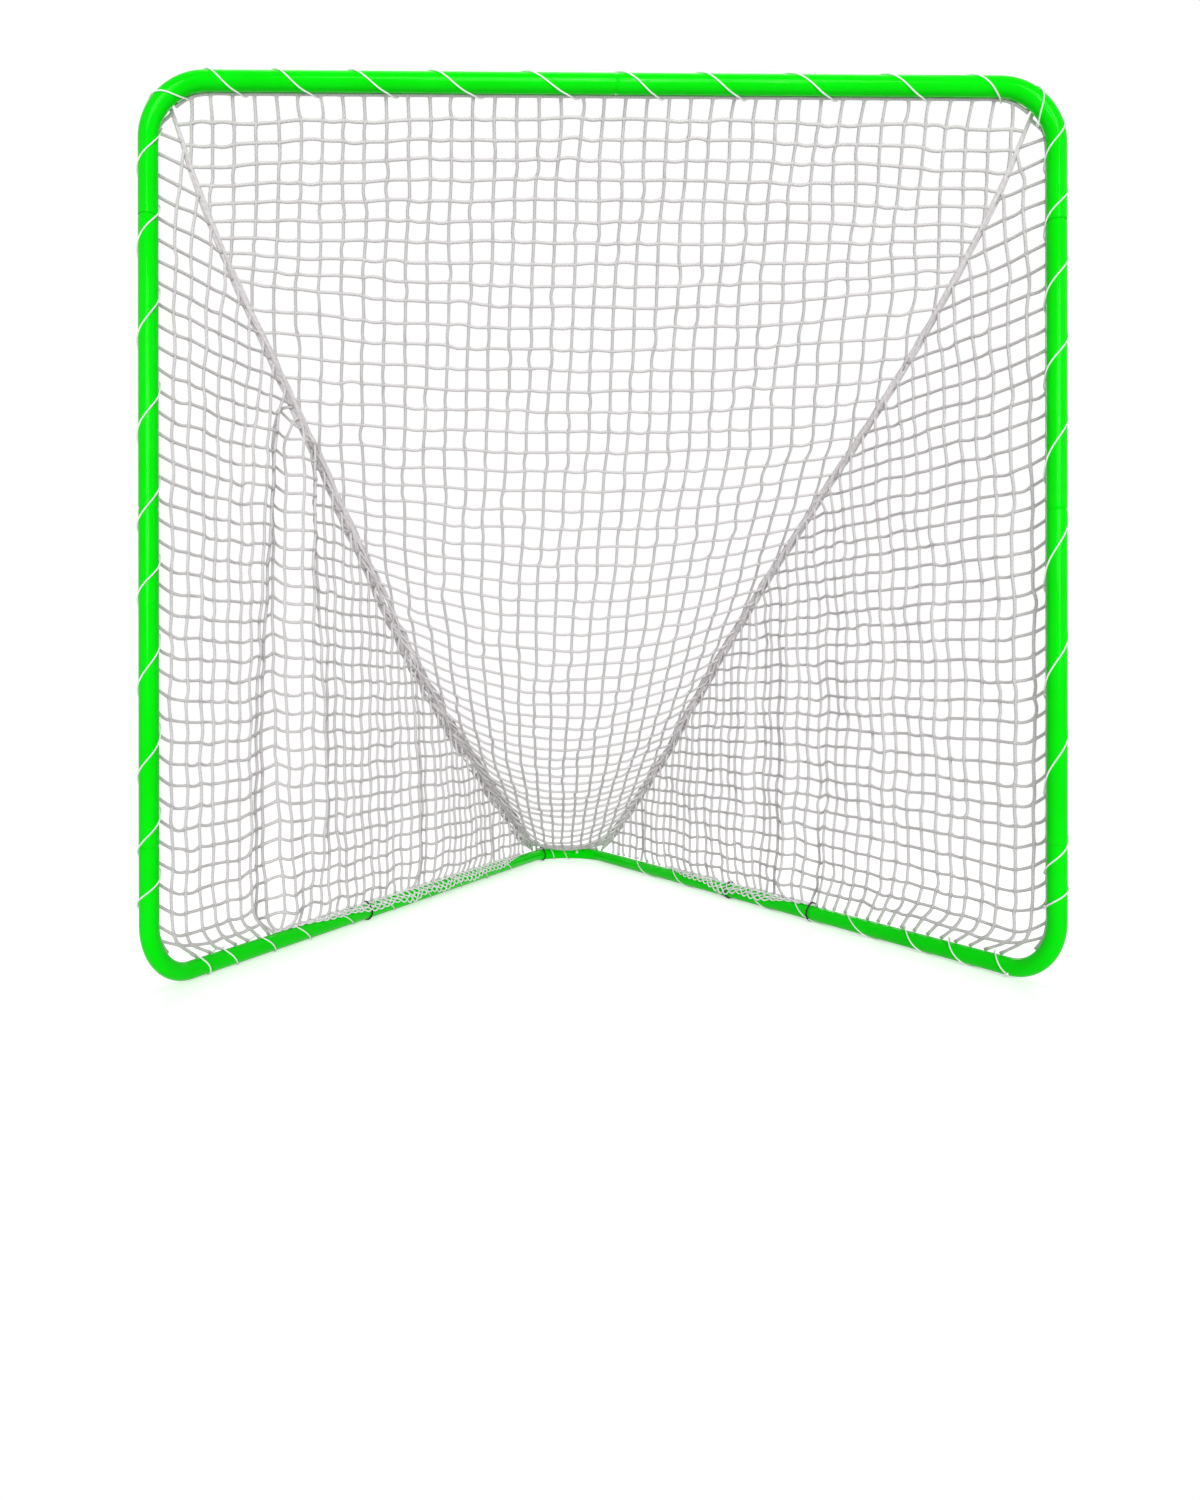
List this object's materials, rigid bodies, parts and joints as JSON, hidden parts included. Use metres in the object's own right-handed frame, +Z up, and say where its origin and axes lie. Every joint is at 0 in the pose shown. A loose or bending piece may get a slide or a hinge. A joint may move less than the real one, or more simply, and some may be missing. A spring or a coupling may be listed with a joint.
{
  "type": "lacrosse goal",
  "caption": "Full-size lacrosse goal: square tubular mouth, pointed base running back to a rounded apex, and a laced-on net.",
  "frame": {"origin": "on the ground, under the middle of the goal's overall box", "axes": "+Z up, +Y from the mouth back to the rear apex, +X to the right of someone who faces the mouth"},
  "size_m": [1.8396, 1.9212, 1.813],
  "materials": {
    "frame_paint": "gloss powder coat",
    "button_steel": "plain zinc-plated steel",
    "spring_steel": "rolled spring steel",
    "lace_cord": "braided white cord",
    "ridge_rope": "twisted off-white rope",
    "net_cord": "knotted off-white net cord",
    "elastic_cord": "black woven elastic",
    "ball_plastic": "black moulded plastic"
  },
  "bodies": {
    "root": {"top_corner_tube_left": "frame_paint", "upper_post_tube_left": "frame_paint", "lower_post_tube_left": "frame_paint", "bottom_corner_tube_left": "frame_paint", "base_leg_tube_left": "frame_paint", "rear_bend_tube": "frame_paint", "base_leg_tube_right": "frame_paint", "bottom_corner_tube_right": "frame_paint", "lower_post_tube_right": "frame_paint", "upper_post_tube_right": "frame_paint", "top_corner_tube_right": "frame_paint", "spring_clip_crossbar": "spring_steel", "spring_clip_post_top_left": "spring_steel", "spring_clip_post_middle_left": "spring_steel", "spring_clip_post_foot_left": "spring_steel", "spring_clip_base_front_left": "spring_steel", "spring_clip_base_rear_left": "spring_steel", "spring_clip_post_top_right": "spring_steel", "spring_clip_post_middle_right": "spring_steel", "spring_clip_post_foot_right": "spring_steel", "spring_clip_base_front_right": "spring_steel", "spring_clip_base_rear_right": "spring_steel", "lacing_crossbar": "lace_cord", "lacing_post_left": "lace_cord", "lacing_post_right": "lace_cord", "lacing_leg_left": "lace_cord", "lacing_leg_right": "lace_cord", "lacing_rear": "lace_cord", "ridge_rope_left": "ridge_rope", "ridge_rope_right": "ridge_rope", "net_side_panel_left": "net_cord", "net_side_panel_right": "net_cord", "net_back_panel": "net_cord", "bungee_loop_left": "elastic_cord", "bungee_ball_left": "ball_plastic", "bungee_loop_rear": "elastic_cord", "bungee_ball_rear": "ball_plastic", "bungee_loop_right_rear": "elastic_cord", "bungee_ball_right_rear": "ball_plastic", "bungee_loop_right_front": "elastic_cord", "bungee_ball_right_front": "ball_plastic"},
    "snap_button_crossbar": {"snap_button_crossbar": "button_steel"},
    "snap_button_post_top_left": {"snap_button_post_top_left": "button_steel"},
    "snap_button_post_middle_left": {"snap_button_post_middle_left": "button_steel"},
    "snap_button_post_foot_left": {"snap_button_post_foot_left": "button_steel"},
    "snap_button_base_front_left": {"snap_button_base_front_left": "button_steel"},
    "snap_button_base_rear_left": {"snap_button_base_rear_left": "button_steel"},
    "snap_button_post_top_right": {"snap_button_post_top_right": "button_steel"},
    "snap_button_post_middle_right": {"snap_button_post_middle_right": "button_steel"},
    "snap_button_post_foot_right": {"snap_button_post_foot_right": "button_steel"},
    "snap_button_base_front_right": {"snap_button_base_front_right": "button_steel"},
    "snap_button_base_rear_right": {"snap_button_base_rear_right": "button_steel"}
  },
  "joints": [
    {"name": "press_crossbar", "type": "slide", "parent": "root", "child": "snap_button_crossbar", "axis": [0, -1, 0], "range_m": [0, 0.0058], "stiffness_N_per_m": 3000, "springref_m": -0.002, "deforming": ["spring_clip_crossbar"]},
    {"name": "press_post_top_left", "type": "slide", "parent": "root", "child": "snap_button_post_top_left", "axis": [0, -1, 0], "range_m": [0, 0.0058], "stiffness_N_per_m": 3000, "springref_m": -0.002, "deforming": ["spring_clip_post_top_left"]},
    {"name": "press_post_middle_left", "type": "slide", "parent": "root", "child": "snap_button_post_middle_left", "axis": [0, -1, 0], "range_m": [0, 0.0058], "stiffness_N_per_m": 3000, "springref_m": -0.002, "deforming": ["spring_clip_post_middle_left"]},
    {"name": "press_post_foot_left", "type": "slide", "parent": "root", "child": "snap_button_post_foot_left", "axis": [0, -1, 0], "range_m": [0, 0.0058], "stiffness_N_per_m": 3000, "springref_m": -0.002, "deforming": ["spring_clip_post_foot_left"]},
    {"name": "press_base_front_left", "type": "slide", "parent": "root", "child": "snap_button_base_front_left", "axis": [0.9193, -0.3936, 0], "range_m": [0, 0.0058], "stiffness_N_per_m": 3000, "springref_m": -0.002, "deforming": ["spring_clip_base_front_left"]},
    {"name": "press_base_rear_left", "type": "slide", "parent": "root", "child": "snap_button_base_rear_left", "axis": [0.9193, -0.3936, 0], "range_m": [0, 0.0058], "stiffness_N_per_m": 3000, "springref_m": -0.002, "deforming": ["spring_clip_base_rear_left"]},
    {"name": "press_post_top_right", "type": "slide", "parent": "root", "child": "snap_button_post_top_right", "axis": [0, -1, 0], "range_m": [0, 0.0058], "stiffness_N_per_m": 3000, "springref_m": -0.002, "deforming": ["spring_clip_post_top_right"]},
    {"name": "press_post_middle_right", "type": "slide", "parent": "root", "child": "snap_button_post_middle_right", "axis": [0, -1, 0], "range_m": [0, 0.0058], "stiffness_N_per_m": 3000, "springref_m": -0.002, "deforming": ["spring_clip_post_middle_right"]},
    {"name": "press_post_foot_right", "type": "slide", "parent": "root", "child": "snap_button_post_foot_right", "axis": [0, -1, 0], "range_m": [0, 0.0058], "stiffness_N_per_m": 3000, "springref_m": -0.002, "deforming": ["spring_clip_post_foot_right"]},
    {"name": "press_base_front_right", "type": "slide", "parent": "root", "child": "snap_button_base_front_right", "axis": [-0.9193, -0.3936, 0], "range_m": [0, 0.0058], "stiffness_N_per_m": 3000, "springref_m": -0.002, "deforming": ["spring_clip_base_front_right"]},
    {"name": "press_base_rear_right", "type": "slide", "parent": "root", "child": "snap_button_base_rear_right", "axis": [-0.9193, -0.3936, 0], "range_m": [0, 0.0058], "stiffness_N_per_m": 3000, "springref_m": -0.002, "deforming": ["spring_clip_base_rear_right"]}
  ]
}
